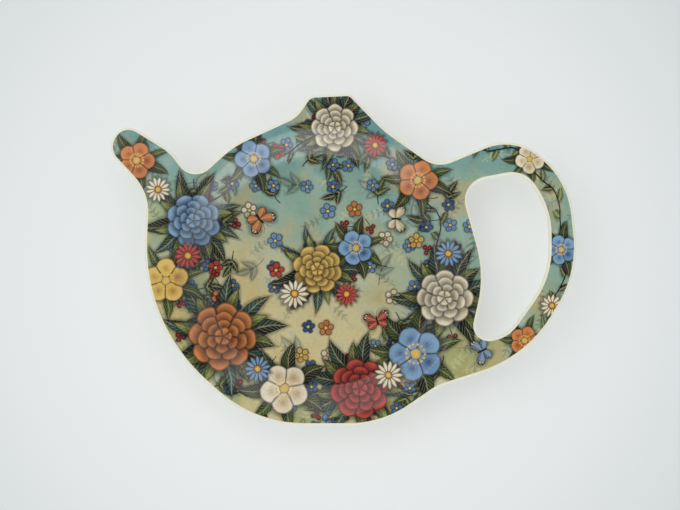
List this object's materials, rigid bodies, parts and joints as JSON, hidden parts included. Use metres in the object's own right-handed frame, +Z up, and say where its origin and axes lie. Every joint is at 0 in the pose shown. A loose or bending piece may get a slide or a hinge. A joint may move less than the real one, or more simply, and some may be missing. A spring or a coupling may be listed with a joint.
{
  "type": "tea bag rest",
  "caption": "Flat teapot-shaped moulded tray with a shallow round well for a used tea bag, a finger hole in its handle and a printed, glazed face.",
  "frame": {"origin": "centre of the foot ring, on the table, under the middle of the well", "axes": "+X from the spout towards the handle, +Y from the base towards the lid's knob, +Z up out of the well"},
  "size_m": [0.1201, 0.0856, 0.01],
  "materials": {
    "melamine": "cream moulded melamine, glossy, with buffed satin edges",
    "printed_foil": "resin-soaked paper foil with a many-coloured flower print",
    "glaze": "clear glossy melamine resin"
  },
  "bodies": {
    "root": {"moulded_body": "melamine", "decor_foil": "printed_foil", "clear_glaze": "glaze"}
  },
  "joints": []
}
